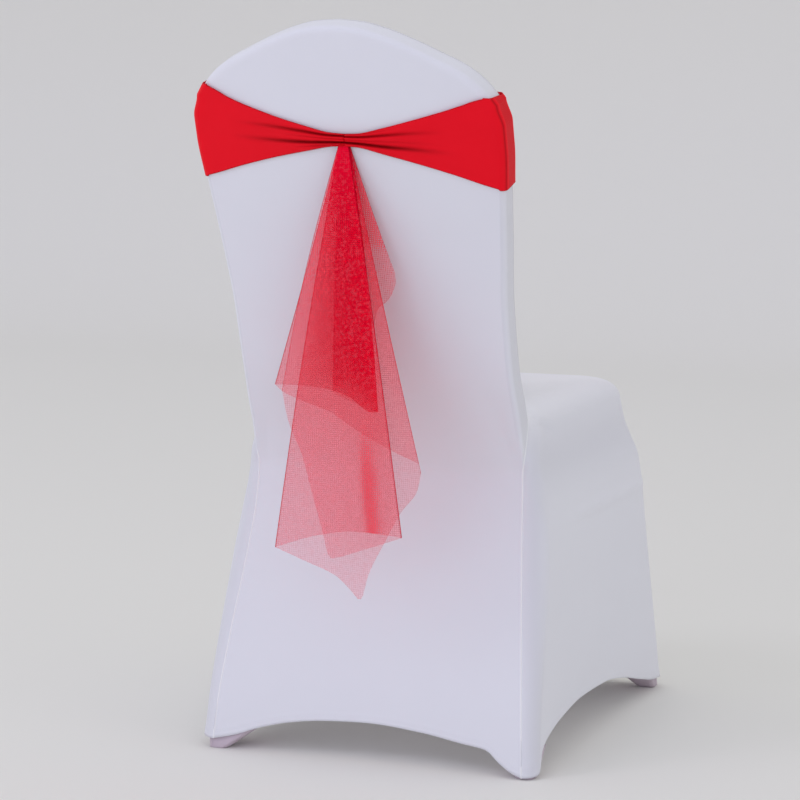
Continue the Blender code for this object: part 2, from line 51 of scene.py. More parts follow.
REAR_FEET_Y = 0.2092
KNIT = 0.0009
EDGE_ROUND = 0.007
BACK_DEPTH = 0.030
RECLINE = math.radians(17.0)
BACK_BOW = 0.016
HEM_PULL = 0.010
SHOULDER = 0.842
SEAT_LEVEL = 0.430
WAIST = 0.375
LIP = 0.0025
LEAN = 0.026
LEAN_START = 0.60
LEAN_LENGTH = 0.22
BOW_START = 0.40
BOW_LENGTH = 0.20
TURN_LENGTH = 0.060
HEM_WIDTH = 0.011
HEM_STEP = 0.0004

BACK_EDGE = {
    "height": (0.0, 0.060, 0.150, 0.250, 0.320, 0.365, 0.400, 0.440,
               0.500, 0.580, 0.660, 0.740, 0.790, 0.815, 0.842, 0.940),
    "behind": (0.0175, 0.0077, -0.0165, -0.0473, -0.0660, -0.0715, -0.0625, -0.0465,
               -0.0225, 0.0005, 0.0235, 0.0500, 0.0660, 0.0730, 0.0790, 0.1030),
    "half": (0.2118, 0.2080, 0.1995, 0.1890, 0.1830, 0.1815, 0.1850, 0.1855,
             0.1837, 0.1847, 0.1908, 0.1980, 0.2020, 0.2014, 0.1940, 0.1940),
}
CROWN = {
    "across": (0.0, 0.030, 0.060, 0.090, 0.125, 0.155, 0.178, 0.194),
    "height": (0.9313, 0.9290, 0.9218, 0.9110, 0.8955, 0.8810, 0.8630, 0.8420),
}
BACK_HEM = {
    "across": (-0.212, -0.198, -0.183, -0.162, -0.130, -0.070, 0.000, 0.065, 0.110, 0.150, 0.185, 0.212),
    "height": (0.0025, 0.0072, 0.0165, 0.0320, 0.0362, 0.0446, 0.0494, 0.0468, 0.0412, 0.0315, 0.0195, 0.0135),
}


def curve(table, along, column, at):
    """Monotone cubic curve through one column of a table, read along another column."""
    x = np.array(table[along], dtype=float)
    y = np.array(table[column], dtype=float)
    steps = np.diff(x)
    slope = np.diff(y) / steps
    product = slope[:-1] * slope[1:]
    mean = 2 * product / np.where(product > 0, slope[:-1] + slope[1:], 1)
    tangent = np.concatenate([slope[:1], np.where(product > 0, mean, 0), slope[-1:]])
    at = np.clip(at, x[0], x[-1])
    k = np.clip(np.searchsorted(x, at, side="right") - 1, 0, len(steps) - 1)
    t = (at - x[k]) / steps[k]
    rise = y[k + 1] - y[k]
    start = tangent[k] * steps[k]
    end = tangent[k + 1] * steps[k]
    return y[k] + t * start + t * t * (3 * rise - 2 * start - end) + t ** 3 * (start + end - 2 * rise)


def ease(value):
    """Smooth step from 0 to 1."""
    value = np.clip(value, 0, 1)
    return value * value * (3 - 2 * value)


def lean(points):
    """The crown's left side is pulled up: height grows with the place across, above the middle of the back."""
    points = points.copy()
    points[..., 2] += LEAN * points[..., 0] * ease((points[..., 2] - LEAN_START) / LEAN_LENGTH)
    return points


def back_y(across, height):
    """Depth of the back's face: its side edge, plus a bow across the backrest, less a pull above the hem."""
    inward = np.clip(1 - (across / curve(BACK_EDGE, "height", "half", height)) ** 2, 0, 1)
    bow = BACK_BOW * inward * ease((height - BOW_START) / BOW_LENGTH)
    low = HEM_PULL * inward * ease(1 - height / WAIST)
    return curve(BACK_EDGE, "height", "behind", height) + bow - low


def wrap(height):
    """How far the panel turns over the backrest's edge: none below the waist, all of it above."""
    return ease((height - WAIST) / TURN_LENGTH)


def forward(points, distance):
    """Move points towards the front, square to the reclined back."""
    step = np.array([0.0, -math.cos(RECLINE), math.sin(RECLINE)])
    return points + np.asarray(distance)[..., None] * step


def seam_height(row, hem):
    """Height of a row whose hem has this height: the hem's arch fades out towards the seat."""
    return row + hem * (1 - np.minimum(row / SEAT_LEVEL, 1)) ** 3


def hem_band(from_hem):
    """How far the cloth above the turned-up hem lies below it, fading out a little higher."""
    return HEM_STEP * ease((from_hem - HEM_WIDTH) / 0.003) * ease((0.06 - from_hem) / 0.04)


def normals(grid):
    """Unit normal at each point of a grid: the cross product of its two directions."""
    cross = np.cross(np.gradient(grid, axis=1), np.gradient(grid, axis=0))
    return cross / np.maximum(np.linalg.norm(cross, axis=-1, keepdims=True), 1e-12)


def creases(x, z, table):
    """Sum of soft creases: each is a bell-shaped ridge or trough along a line, fading at both ends."""
    total = np.zeros(np.broadcast(x, z).shape)
    for x0, z0, x1, z1, width, height in zip(*table.values()):
        run = math.hypot(x1 - x0, z1 - z0)
        ux, uz = (x1 - x0) / run, (z1 - z0) / run
        along = ((x - x0) * ux + (z - z0) * uz) / run
        beside = (x - x0) * uz - (z - z0) * ux
        fade = ease(along / 0.35) * ease((1 - along) / 0.35)
        total += height * fade * np.exp(-(beside / width) ** 2)
    return total


def patch(points, uv, turned=False, **marks):
    """One grid of a piece: its points, its cloth coordinates in metres, which way it faces, and its marks."""
    return {"points": points, "uv": uv, "turned": turned, "marks": marks}


def sew(name, patches, thickness, closed=False):
    """Make one object of several grids that share their edges, and give the cloth its thickness."""
    points, uvs, faces, marks, first = [], [], [], {}, 0
    for part in patches:
        rows, columns = part["points"].shape[:2]
        r, c = np.meshgrid(np.arange(rows - 1), np.arange(columns if closed else columns - 1), indexing="ij")
        n = (c + 1) % columns
        quad = np.stack([r * columns + c, r * columns + n, (r + 1) * columns + n, (r + 1) * columns + c], -1)
        quad = quad.reshape(-1, 4)
        faces.append((quad[:, ::-1] if part["turned"] else quad) + first)
        points.append(part["points"].reshape(-1, 3))
        uvs.append(np.asarray(part["uv"], dtype=float).reshape(-1, 2))
        for key, value in part["marks"].items():
            marks.setdefault(key, []).append(np.broadcast_to(value, (rows, columns)).reshape(-1))
        first += rows * columns
    points = np.concatenate(points) + np.array([0.0, REAR_FEET_Y, 0.0])
    faces = np.concatenate(faces)
    uvs = np.concatenate(uvs)
    mesh = bpy.data.meshes.new(name)
    mesh.vertices.add(len(points))
    mesh.vertices.foreach_set("co", points.reshape(-1))
    mesh.loops.add(faces.size)
    mesh.loops.foreach_set("vertex_index", faces.reshape(-1).astype(np.int32))
    mesh.polygons.add(len(faces))
    mesh.polygons.foreach_set("loop_start", np.arange(0, faces.size, 4, dtype=np.int32))
    mesh.update(calc_edges=True)
    layer = mesh.uv_layers.new(name="cloth")
    layer.uv.foreach_set("vector", uvs[faces.reshape(-1)].reshape(-1).astype(np.float32))
    for key, value in marks.items():
        attribute = mesh.attributes.new(key, "FLOAT", "POINT")
        attribute.data.foreach_set("value", np.concatenate(value).astype(np.float32))
    mesh.validate()
    mesh.shade_smooth()
    piece = bpy.data.objects.new(name, mesh)
    bpy.context.collection.objects.link(piece)
    weld = piece.modifiers.new("weld", "WELD")
    weld.merge_threshold = 0.00005
    if thickness:
        solid = piece.modifiers.new("thickness", "SOLIDIFY")
        solid.thickness = thickness
        solid.offset = -1.0
    return piece


class Shade:
    """A material's socket, or the material itself; sums and products of sockets add their Math nodes."""

    def __init__(self, tree, socket=None):
        self.tree = tree
        self.socket = socket

    def node(self, kind, settings=None, inputs=None, output=0):
        """Add a node of this type: its settings are made first, then its sockets are set or linked."""
        made = self.tree.nodes.new("ShaderNode" + kind)
        for key, value in (settings or {}).items():
            if key == "stops":
                ramp = made.color_ramp
                while len(ramp.elements) < len(value):
                    ramp.elements.new(1.0)
                for element, (place, colour) in zip(ramp.elements, value):
                    element.position = place
                    element.color = (*colour, 1.0)
            else:
                setattr(made, key, value)
        for key, value in (inputs or {}).items():
            if isinstance(value, Shade):
                self.tree.links.new(value.socket, made.inputs[key])
            else:
                made.inputs[key].default_value = value
        return Shade(self.tree, made.outputs[output])

    def mark(self, name):
        """A value that the piece's points carry, as sew stored it."""
        return self.node("Attribute", {"attribute_name": name}, output=2)

    def math(self, operation, *values, clamp=False):
        """A Math node of this operation on these values."""
        return self.node("Math", {"operation": operation, "use_clamp": clamp}, dict(enumerate(values)))

    def __add__(self, other):
        return self.math("ADD", self, other)

    def __sub__(self, other):
        return self.math("SUBTRACT", self, other)

    def __rsub__(self, other):
        return self.math("SUBTRACT", other, self)

    def __mul__(self, other):
        return self.math("MULTIPLY", self, other)

    def __truediv__(self, other):
        return self.math("DIVIDE", self, other)

    __radd__ = __add__
    __rmul__ = __mul__

    def mix(self, first, second):
        """Colour that goes from the first to the second as this value goes from 0 to 1."""
        return self.node("Mix", {"data_type": "RGBA"}, {0: self, 6: first, 7: second}, output=2)

    def bell(self, centre, width):
        """1 at the centre, falling off like a bell over the width."""
        off = (self - centre) / width
        return self.math("EXPONENT", off * off * -1.0)

    def wave(self, pitch):
        """Sine that repeats at this pitch, in metres."""
        return self.math("SINE", self * (2 * math.pi / pitch))


def new_material(name, **fixed):
    """A Principled material; fixed are the values that are the same all over, set on its own sockets."""
    made = bpy.data.materials.new(name)
    made.use_nodes = True
    shader = made.node_tree.nodes["Principled BSDF"]
    for key, value in fixed.items():
        shader.inputs[key.replace("_", " ")].default_value = value
    return made, shader, Shade(made.node_tree)


def cloth_uv(shade):
    """The piece's own coordinates in metres, across and along the cloth."""
    place = shade.node("UVMap", {"uv_map": "cloth"})
    split = shade.node("SeparateXYZ", inputs={0: place})
    return place, split, Shade(shade.tree, split.socket.node.outputs[1])


def knit_material(name, light, dark):
    """Stretch knit: fine ribs along the cloth with small loops across, faint cloudy tone, stitched hem and seams.

    A mark on the piece's points paints shade into the colour where it is above 0, greying it, and paints light where it
    is below 0, whitening it. The cloth right at the seams is paler, a painted highlight.
    """
    made, shader, shade = new_material(
        name, Roughness=0.72, Sheen_Weight=0.25, Sheen_Roughness=0.6, Specular_IOR_Level=0.3)
    place, across, along = cloth_uv(shade)
    cloud = shade.node("TexNoise", inputs={"Vector": place, "Scale": 9.0, "Detail": 3.0, "Roughness": 0.5})
    ribs = across.wave(0.0011)
    loops = along.wave(0.0009) * 0.6
    from_hem = shade.mark("from_hem")
    from_seam = shade.mark("from_seam")
    dashes = shade.math("GREATER_THAN", across.wave(0.0032), -0.35)
    stitch_line = from_hem.bell(0.0085, 0.0006) + from_hem.bell(0.0110, 0.0006)
    seam_line = from_seam.bell(0.0032, 0.0005) * shade.math("GREATER_THAN", along.wave(0.0030), -0.3)
    stitches = shade.math("MINIMUM", stitch_line * dashes + seam_line * 0.6, 1.0)
    tone = shade.math("MULTIPLY_ADD", cloud, 0.5, -0.05, clamp=True)
    # Painted highlight: the cloth right at each seam is paler, as if the seam's ridge caught the light.
    painted_seam_highlight = from_seam.bell(0.0, 0.0010)
    # Painted shade and light: where this mark is above 0 the colour greys, as painted shade, and where it is below 0 it
    # whitens, as painted light.
    drawn = shade.mark("drawn")
    plain = (tone + stitches * 0.5).mix(light, dark)
    plain = drawn.mix(plain, (0.60, 0.60, 0.65, 1.0))
    plain = (drawn * -1.0).mix(plain, (0.95, 0.95, 0.99, 1.0))
    shade.tree.links.new(painted_seam_highlight.mix(plain, (0.93, 0.93, 0.95, 1.0)).socket, shader.inputs["Base Color"])
    height = ribs * 0.25 + loops * 0.2 - stitches * 2.0
    bump = shade.node("Bump", inputs={"Height": height, "Strength": 0.35, "Distance": 0.0003})
    shade.tree.links.new(bump.socket, shader.inputs["Normal"])
    return made


white_knit = knit_material("white_knit", (0.805, 0.812, 0.862, 1.0), (0.768, 0.774, 0.828, 1.0))

BACK_CREASES = {
    "x0": (0.150, -0.140, -0.176, 0.168, 0.120),
    "z0": (0.470, 0.500, 0.330, 0.300, 0.560),
    "x1": (0.182, -0.178, -0.120, 0.120, 0.176),
    "z1": (0.360, 0.350, 0.450, 0.430, 0.380),
    "width": (0.012, 0.013, 0.016, 0.016, 0.020),
    "height": (-0.0012, -0.0012, 0.0008, 0.0008, 0.0009),
}


def back_outline(rows, share):
    """Grid of the back: at each row the side edge's half width times the share; the hem's arch and crown fade in."""
    half = curve(BACK_EDGE, "height", "half", rows)
    hem = curve(BACK_HEM, "across", "height", share * half[0])
    crown = curve(CROWN, "across", "height", np.abs(share * half[-1])) - SHOULDER
    height = seam_height(rows, hem) + crown * (rows / SHOULDER) ** 3
    side = np.abs(share) > 1 - 1e-9
    outer = np.where(side, share * half, share * curve(BACK_EDGE, "height", "half", np.minimum(height, SHOULDER)))
    return outer, height, hem


def back_panel():
    """Face grid from the hem to the crown, and a rim that turns over a round edge and runs forward."""
    rows = np.concatenate([
        np.linspace(0, 0.040, 9)[:-1], np.linspace(0.040, 0.780, 110), np.linspace(0.780, SHOULDER, 22)[1:]])[:, None]
    share = np.sin(np.linspace(-1, 1, 121) * math.pi / 2 * 0.92)[None, :] / math.sin(math.pi / 2 * 0.92)
    share = share[:, ::-1]
    outer_x, outer_z, hem = back_outline(rows, share)
    face_x = outer_x - share * EDGE_ROUND * wrap(rows)
    face_z = outer_z - EDGE_ROUND * (rows / SHOULDER) ** 12
    face = np.stack([face_x, back_y(face_x, face_z), face_z], -1)
    edge = np.stack([outer_x, back_y(outer_x, outer_z), outer_z], -1)
    still = ease((1 - np.abs(share)) / 0.10) * ease((rows[-1] - rows) / 0.05)
    from_hem = face_z - hem * (1 - np.minimum(rows / SEAT_LEVEL, 1)) ** 3 + 0 * share
    relief = creases(face_x, face_z, BACK_CREASES) * still - hem_band(from_hem)
    face = face + normals(face) * relief[..., None]
    inset = (curve(BACK_EDGE, "height", "half", face_z) - np.abs(face_x)) + wrap(rows) * 0.05
    patches = [patch(face, np.stack([face_x, face_z], -1), from_hem=from_hem, from_seam=inset, drawn=0.0)]
    start = np.concatenate([face[:, 0], face[-1, 1:-1], face[::-1, -1]])
    end = np.concatenate([edge[:, 0], edge[-1, 1:-1], edge[::-1, -1]])
    turned = wrap(end[:, 2])
    steps = []
    for angle in np.radians([0, 15, 30, 45, 60, 75, 90]):
        steps.append(forward(start + (end - start) * math.sin(angle), turned * EDGE_ROUND * (1 - math.cos(angle))))
    for distance in (0.011, 0.016, 0.021, 0.026, BACK_DEPTH):
        steps.append(forward(end, turned * distance))
    inward = np.array([0.0, 0.0, 0.80]) - end
    inward[:, 1] = 0
    inward /= np.linalg.norm(inward, axis=-1, keepdims=True)
    steps.append(steps[-1] + LIP * (inward * turned[:, None] + np.array([0.0, -1.0, 0.0]) * (1 - turned[:, None])))
    rim = np.stack(steps)
    run = np.concatenate([[0], np.cumsum(np.linalg.norm(np.diff(end, axis=0), axis=-1))])
    across = np.concatenate([[0], np.cumsum(np.linalg.norm(np.diff(rim, axis=0), axis=-1).mean(-1))])
    uv = np.stack(np.broadcast_arrays(across[:, None], run[None, :]), -1)
    steps_deep = np.linalg.norm(rim - end[None], axis=-1)
    depth = BACK_DEPTH + 0.001 - steps_deep + (1 - turned[None]) * 0.05
    # Painted shade: above the waist, the rim turned over the backrest's edge is greyed, fading out near the crown.
    painted_rim_shade = 0.38 * turned[None] * ease((steps_deep - 0.002) / 0.006) * ease((SHOULDER - end[None, :, 2]) / 0.03)
    patches.append(patch(rim, uv, from_hem=1.0, from_seam=depth, drawn=painted_rim_shade))
    for part in patches:
        part["points"] = lean(part["points"])
    return sew("cover_back", patches, KNIT)


back = back_panel()
back.data.materials.append(white_knit)
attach(back, "root")
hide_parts("back_panel")

# Seat and skirt
# One piece of the same knit covers the seat's top, both sides and the front, down to the arched hem.
# It is sewn to the back panel down both rear corners and stretched over the seat pad's edges.

GAP = 0.0002
SIDE_PULL = 0.008
FRONT_HEM_RISE = 0.030
SEAT_RISE = 0.0300
SEAT_CROWN = 0.006
SEAT_ROUND = 0.15
PLAN_STEPS = (20, 54, 18, 20)

SKIRT = {
    "height": (0.0, 0.060, 0.150, 0.250, 0.310, 0.350, 0.380, 0.400, 0.430),
    "rear": (0.2325, 0.2280, 0.2235, 0.2179, 0.2110, 0.2052, 0.2000, 0.1968, 0.1925),
    "front": (0.2412, 0.2395, 0.2375, 0.2355, 0.2352, 0.2328, 0.2240, 0.2180, 0.2145),
    "rear_round": (0.0207, 0.0200, 0.0240, 0.0289, 0.0270, 0.0241, 0.0240, 0.0300, 0.0400),
    "front_round": (0.020, 0.021, 0.023, 0.025, 0.028, 0.031, 0.035, 0.036, 0.038),
    "reach": (0.5375, 0.5215, 0.4975, 0.4710, 0.4550, 0.4443, 0.4363, 0.4310, 0.4230),
}
SIDE_HEM = {
    "behind": (-0.540, -0.500, -0.440, -0.370, -0.300, -0.200, -0.110, -0.040, -0.012, 0.004, 0.018),
    "left": (0.0150, 0.0170, 0.0300, 0.0480, 0.0580, 0.0605, 0.0520, 0.0330, 0.0215, 0.0160, 0.0135),
    "right": (0.0150, 0.0170, 0.0300, 0.0480, 0.0580, 0.0605, 0.0540, 0.0422, 0.0310, 0.0060, 0.0025),
}
SIDE_CREASES = {
    "x0": (-0.100, -0.050, 0.020, -0.060, -0.060),
    "z0": (0.299, 0.455, 0.448, 0.440, 0.400),
    "x1": (-0.520, -0.170, -0.080, -0.120, -0.100),
    "z1": (0.309, 0.412, 0.420, 0.424, 0.300),
    "width": (0.008, 0.007, 0.006, 0.003, 0.012),
    "height": (0.0024, -0.0042, 0.0024, 0.0022, -0.0020),
}

walk = np.concatenate([[0.0]] + [np.linspace(k, k + 1, n + 1)[1:] for k, n in enumerate(PLAN_STEPS)])[None, :]
corner_walk, side_walk, knee_walk, front_walk = (np.clip(walk - k, 0, 1) for k in range(4))


def seam_edge(height, side):
    """Front edge of the back panel's turn at these heights, where the seat part is sewn on."""
    half = curve(BACK_EDGE, "height", "half", height)
    edge = np.stack([side * half, back_y(half, height), height], -1)
    return forward(edge, wrap(height) * BACK_DEPTH)


def half_plan(height, seam):
    """Plan from a rear seam to the middle of the front, at each point's height.

    The path's four stretches add up: a rear corner, a side pulled in a little, a front corner, half of the front.
    """
    rear, front, rear_round, front_round, reach = (
        curve(SKIRT, "height", name, height) for name in ("rear", "front", "rear_round", "front_round", "reach"))
    upper = wrap(height)
    start_x = np.abs(seam[..., 0:1]) + GAP * (1 - upper)
    start_y = seam[..., 1:2] - GAP * upper
    quarter = math.pi / 2 * corner_walk
    out = np.sin(quarter) * (1 - upper) + ease(corner_walk) * upper
    ahead = (1 - np.cos(quarter)) * (1 - upper) + corner_walk * upper
    pull = SIDE_PULL * (1 - height / SEAT_LEVEL) * np.sin(math.pi * side_walk)
    knee = math.pi / 2 * knee_walk
    x = start_x + (rear - start_x) * out + (front - rear) * side_walk - pull
    x = x - front_round * (1 - np.cos(knee)) - (front - front_round) * front_walk
    y = start_y - rear_round * ahead + (front_round - reach - start_y + rear_round) * side_walk
    y = y - front_round * np.sin(knee)
    return x, y


def half_skirt(rows, side):
    """One half of the skirt, from the hem to the seat's edge, and how far each point is above the hem."""
    foot_x, foot_y = half_plan(np.zeros((1, walk.size)), seam_edge(np.zeros(1), side))
    under = curve(SIDE_HEM, "behind", "left" if side > 0 else "right", foot_y)
    corner = SKIRT["front"][0] - SKIRT["front_round"][0]
    hem = np.where(walk >= 3, SIDE_HEM["left"][0] + FRONT_HEM_RISE * ease(1 - np.abs(foot_x) / corner), under)
    hem[0, 0] = BACK_HEM["height"][-1 if side > 0 else 0]
    height = seam_height(rows, hem)
    seam = seam_edge(height[:, 0], side)
    x, y = half_plan(height, seam)
    height = height + (seam[:, 2:3] - height[:, :1]) * ease(1 - corner_walk)
    from_hem = rows + 0 * walk
    return np.stack([side * x, y, height], -1), from_hem


def seat_and_skirt():
    """Two half skirts joined at the front, then rings that shrink towards the middle of the seat's rear edge."""
    rows = np.concatenate([np.linspace(0, 0.020, 7)[:-1], np.linspace(0.020, SEAT_LEVEL, 84)])[:, None]
    left, from_hem = half_skirt(rows, 1)
    right, _ = half_skirt(rows, -1)
    skirt = np.concatenate([left, right[:, -2::-1]], 1)
    from_hem = np.concatenate([from_hem, from_hem[:, -2::-1]], 1)
    run = np.concatenate([walk, 8 - walk[:, -2::-1]], 1)
    shoulder = skirt[-1]
    quarter = np.linspace(0, math.pi / 2, 13)[1:]
    p = np.concatenate([SEAT_ROUND * (1 - np.cos(quarter)), np.linspace(SEAT_ROUND, 1.0, 22)[1:]])[:, None]
    rise = np.sqrt(1 - (1 - np.minimum(p / SEAT_ROUND, 1)) ** 2)
    top_z = SEAT_LEVEL + SEAT_RISE
    rings = np.stack(np.broadcast_arrays(
        shoulder[None, :, 0] * (1 - p), shoulder[0, 1] + (shoulder[None, :, 1] - shoulder[0, 1]) * (1 - p),
        shoulder[None, :, 2] + (top_z - shoulder[None, :, 2]) * rise + SEAT_CROWN * ease(p)), -1)
    grid = np.concatenate([skirt, rings])
    from_hem = np.concatenate([from_hem, np.full(rings.shape[:2], 1.0)])
    outward = -normals(grid)
    still = ease((4 - np.abs(run - 4)) / 0.5) * ease((1 - np.concatenate([0 * rows, p])) / 0.4)
    beside = outward[..., 0] ** 2 * np.where(grid[..., 0] < 0, 1.0, 0.7)
    relief = creases(grid[..., 1], grid[..., 2], SIDE_CREASES) * beside
    grid = grid + outward * (relief * still - hem_band(from_hem))[..., None]
    level = np.concatenate([wrap(skirt[:, 0, 2:3]), 1 + rise])
    lips = []
    for column, side in ((0, 1.0), (-1, -1.0)):
        fold = np.concatenate([-side * (level * (level <= 1) + (2 - level) * (level > 1)),
                               -(1 - np.minimum(level, 1)), -np.maximum(level - 1, 0)], 1)
        lips.append(grid[:, column] + LIP * fold)
    from_seam = np.minimum(np.linalg.norm(grid - grid[:, :1], axis=-1), np.linalg.norm(grid - grid[:, -1:], axis=-1))
    grid = np.concatenate([lips[0][:, None], grid, lips[1][:, None]], 1)
    from_hem = np.concatenate([from_hem[:, :1], from_hem, from_hem[:, -1:]], 1)
    from_seam = np.concatenate([0 * from_seam[:, :1], from_seam, 0 * from_seam[:, -1:]], 1)
    high, behind = grid[..., 2], grid[..., 1]
    # Painted light and shade: the seat's top and the upper edge of its sides are whitened as painted light; a strip
    # beside each rear seam and a band just below the seat's edge are greyed as painted shade.
    level_top = SEAT_LEVEL - 0.06 * np.clip(behind, -0.4, 0)
    painted_top_light = 0.55 * ease((high - level_top + 0.020) / 0.035)
    painted_corner_shade = 0.40 * np.exp(-((from_seam - 0.016) / 0.016) ** 2) * ease((SEAT_LEVEL - high) / 0.03)
    painted_pad_shade = 0.36 * np.exp(-((high - 0.385) / 0.035) ** 2) * ease((0.05 - behind) / 0.05)
    drawn = np.maximum(painted_corner_shade, painted_pad_shade) - painted_top_light
    along = np.cumsum(np.linalg.norm(np.diff(grid[20], axis=0, prepend=grid[20][:1]), axis=-1))
    up = np.cumsum(np.linalg.norm(np.diff(grid[:, 60], axis=0, prepend=grid[:1, 60]), axis=-1))
    uv = np.stack(np.broadcast_arrays(along[None, :], up[:, None]), -1)
    patches = [patch(grid, uv, turned=True, from_hem=from_hem, from_seam=from_seam, drawn=drawn)]
    for column, side in ((1, 1.0), (-2, -1.0)):
        line = grid[:len(rows) + 1, column][:, None]
        turn = np.linspace(0, 2 * math.pi, 9)[None, :]
        radius = 0.0001 + 0.0007 * ease((0.425 - line[..., 2]) / 0.03)
        bead = line + np.stack([side * radius * np.cos(turn), radius * np.sin(turn), 0 * turn * radius], -1)
        bead_uv = np.stack(np.broadcast_arrays(radius * turn, line[..., 2]), -1)
        patches.append(patch(bead, bead_uv, turned=side < 0, from_hem=1.0, from_seam=0.0, drawn=0.0))
    return sew("cover_seat", patches, KNIT)


seat = seat_and_skirt()
seat.data.materials.append(white_knit)
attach(seat, "root")
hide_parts("seat_skirt")

# Inside of the backrest
# A padded front to the backrest in the same knit, sewn to the back panel's turned edge and to the seat.

PADDING = 0.016
TUCK = 0.0016


def padding(share, height):
    """How far the padded inside stands forward of its edge: a flat-topped swell both ways."""
    top = curve(CROWN, "across", "height", np.abs(share) * CROWN["across"][-1])
    up = np.clip((height - SEAT_LEVEL) / (top - SEAT_LEVEL), 0, 1)
    return PADDING * (1 - share ** 4) * (1 - (2 * up - 1) ** 4)


def inside_back():
    """A grid on the backrest's outline, moved forward past the turned edge and swollen by the padding."""
    share = np.linspace(1, -1, 91)[None, :]
    rows = np.linspace(SEAT_LEVEL, SHOULDER, 100)[:, None]
    half = curve(BACK_EDGE, "height", "half", rows)
    up = (rows - rows[0]) / (rows[-1] - rows[0])
    crown = curve(CROWN, "across", "height", np.abs(share * half[-1])) - SHOULDER
    height = rows + crown * (rows / SHOULDER) ** 3 + 0 * share
    inner = 1 - np.abs(share[0])
    rise = np.sqrt(1 - (1 - np.minimum(inner / SEAT_ROUND, 1)) ** 2)
    corner = seam_edge(np.array([SEAT_LEVEL]), 1)[0, 2]
    seat_edge = corner + (SEAT_LEVEL + SEAT_RISE - corner) * rise + SEAT_CROWN * ease(inner)
    first = seat_edge + 0.0025 - (corner - SEAT_LEVEL)
    height = height + (first - height[0])[None, :] * (1 - ease(up / 0.35))
    across = share * (curve(BACK_EDGE, "height", "half", np.minimum(height, rows[-1])) - 0.0008)
    base = np.stack([across, back_y(across, height), height], -1)
    base = forward(base, wrap(height) * BACK_DEPTH + GAP + KNIT)
    grid = forward(base, padding(share, height))
    tuck = grid[0].copy()
    tuck[:, 1] = seam_edge(np.array([SEAT_LEVEL]), 1)[0, 1] - TUCK
    tuck[:, 2] = seat_edge - TUCK
    grid = lean(np.concatenate([tuck[None], grid]))
    uv = np.stack([across, height], -1)
    uv = np.concatenate([uv[:1] - np.array([0.0, 0.006]), uv])
    return sew("cover_inside", [patch(grid, uv, turned=True, from_hem=1.0, from_seam=1.0)], KNIT)


inside = inside_back()
inside.data.materials.append(white_knit)
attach(inside, "root")
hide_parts("inside_back")

# Foot pockets
# Four small cups of heavier cloth, sewn inside the hem's corners. The chair's feet stand in them and
# keep the cover stretched down to the floor.

POCKET_CLOTH = 0.0014
FOOT_HALF = 0.0125
FOOT_ROUND = 0.007
POCKET_TOP = 0.034
FEET = {
    "name": ("rear_left", "rear_right", "front_left", "front_right"),
    "across": (0.2075, -0.2130, 0.2215, -0.2215),
    "behind": (0.0, 0.0, -0.5200, -0.5200),
    "inner": (0.058, 0.045, 0.045, 0.045),
    "clear": (0.0017, 0.0017, 0.0029, 0.0029),
}


def round_box(out, inner, end, back, rounds):
    """Rounded rectangle about the origin as a ring of four quarter circles: out is +X, end is +Y."""
    x = np.array([out, -inner, -inner, out])[:, None]
    y = np.array([end, end, -back, -back])[:, None]
    radius = np.array(rounds)[:, None]
    angle = np.radians(np.array([0, 90, 180, 270])[:, None] + np.linspace(0, 90, 12)[None, :])
    x = x - np.sign(x) * radius + radius * np.cos(angle)
    y = y - np.sign(y) * radius + radius * np.sin(angle)
    return np.stack([x, y], -1).reshape(-1, 2)


def foot_pocket(name, across, behind, inner, clear):
    """Rings from the middle of the flat bottom, round its edge and up the flaring wall to the sewn top."""
    side = math.copysign(1.0, across)
    end = 1.0 if behind > -0.1 else -1.0
    which, which_round = ("rear", "rear_round") if end > 0 else ("front", "front_round")
    half, corner = (float(curve(SKIRT, "height", key, POCKET_TOP)) for key in (which, which_round))
    x, y = half_plan(np.full((1, walk.size), POCKET_TOP), seam_edge(np.array([0.022]), side))
    width = np.interp(-(behind - end * inner), -y[0], x[0])
    wall = back_y(abs(across) - inner, POCKET_TOP) if end > 0 else y[0, -1]
    out_top = min(half, width) - clear - abs(across)
    end_top = abs(wall) - clear - end * behind
    bottom = round_box(FOOT_HALF, FOOT_HALF, FOOT_HALF, FOOT_HALF, [FOOT_ROUND] * 4)
    top = round_box(out_top, inner, end_top, inner, [corner - clear, 0.012, 0.012, 0.012])
    flat = np.array([0.0, 0.4, 0.8, 0.93, 0.98, 1.0])
    lift = np.array([0.0, 0.0, 0.0, 0.0001, 0.0005, 0.0012])
    up = np.linspace(0.06, 1.0, 16)
    rings = [np.concatenate([bottom * f, np.full((len(bottom), 1), z)], 1) for f, z in zip(flat, lift)]
    rings += [np.concatenate([bottom + (top - bottom) * t, np.full((len(bottom), 1), POCKET_TOP * t)], 1) for t in up]
    grid = np.stack(rings) * np.array([side, end, 1.0]) + np.array([across, behind, 0.0])
    run = np.linspace(0, 0.20, len(bottom))[None, :]
    rise = np.cumsum(np.linalg.norm(np.diff(grid[:, 0], axis=0, prepend=grid[:1, 0]), axis=-1))[:, None]
    uv = np.stack(np.broadcast_arrays(run, rise), -1)
    from_top = POCKET_TOP - grid[..., 2]
    return sew("foot_pocket_" + name, [patch(grid, uv, turned=side * end < 0, from_hem=from_top, from_seam=1.0)],
               POCKET_CLOTH, closed=True)


pocket_cloth, pocket_shader, pocket_shade = new_material("pocket_cloth", Roughness=0.85, Sheen_Weight=0.1)
pocket_place, pocket_across, pocket_along = cloth_uv(pocket_shade)
pocket_weave = pocket_across.wave(0.0012) * pocket_along.wave(0.0012)
pocket_cloud = pocket_shade.node("TexNoise", inputs={"Vector": pocket_place, "Scale": 60.0, "Detail": 2.0})
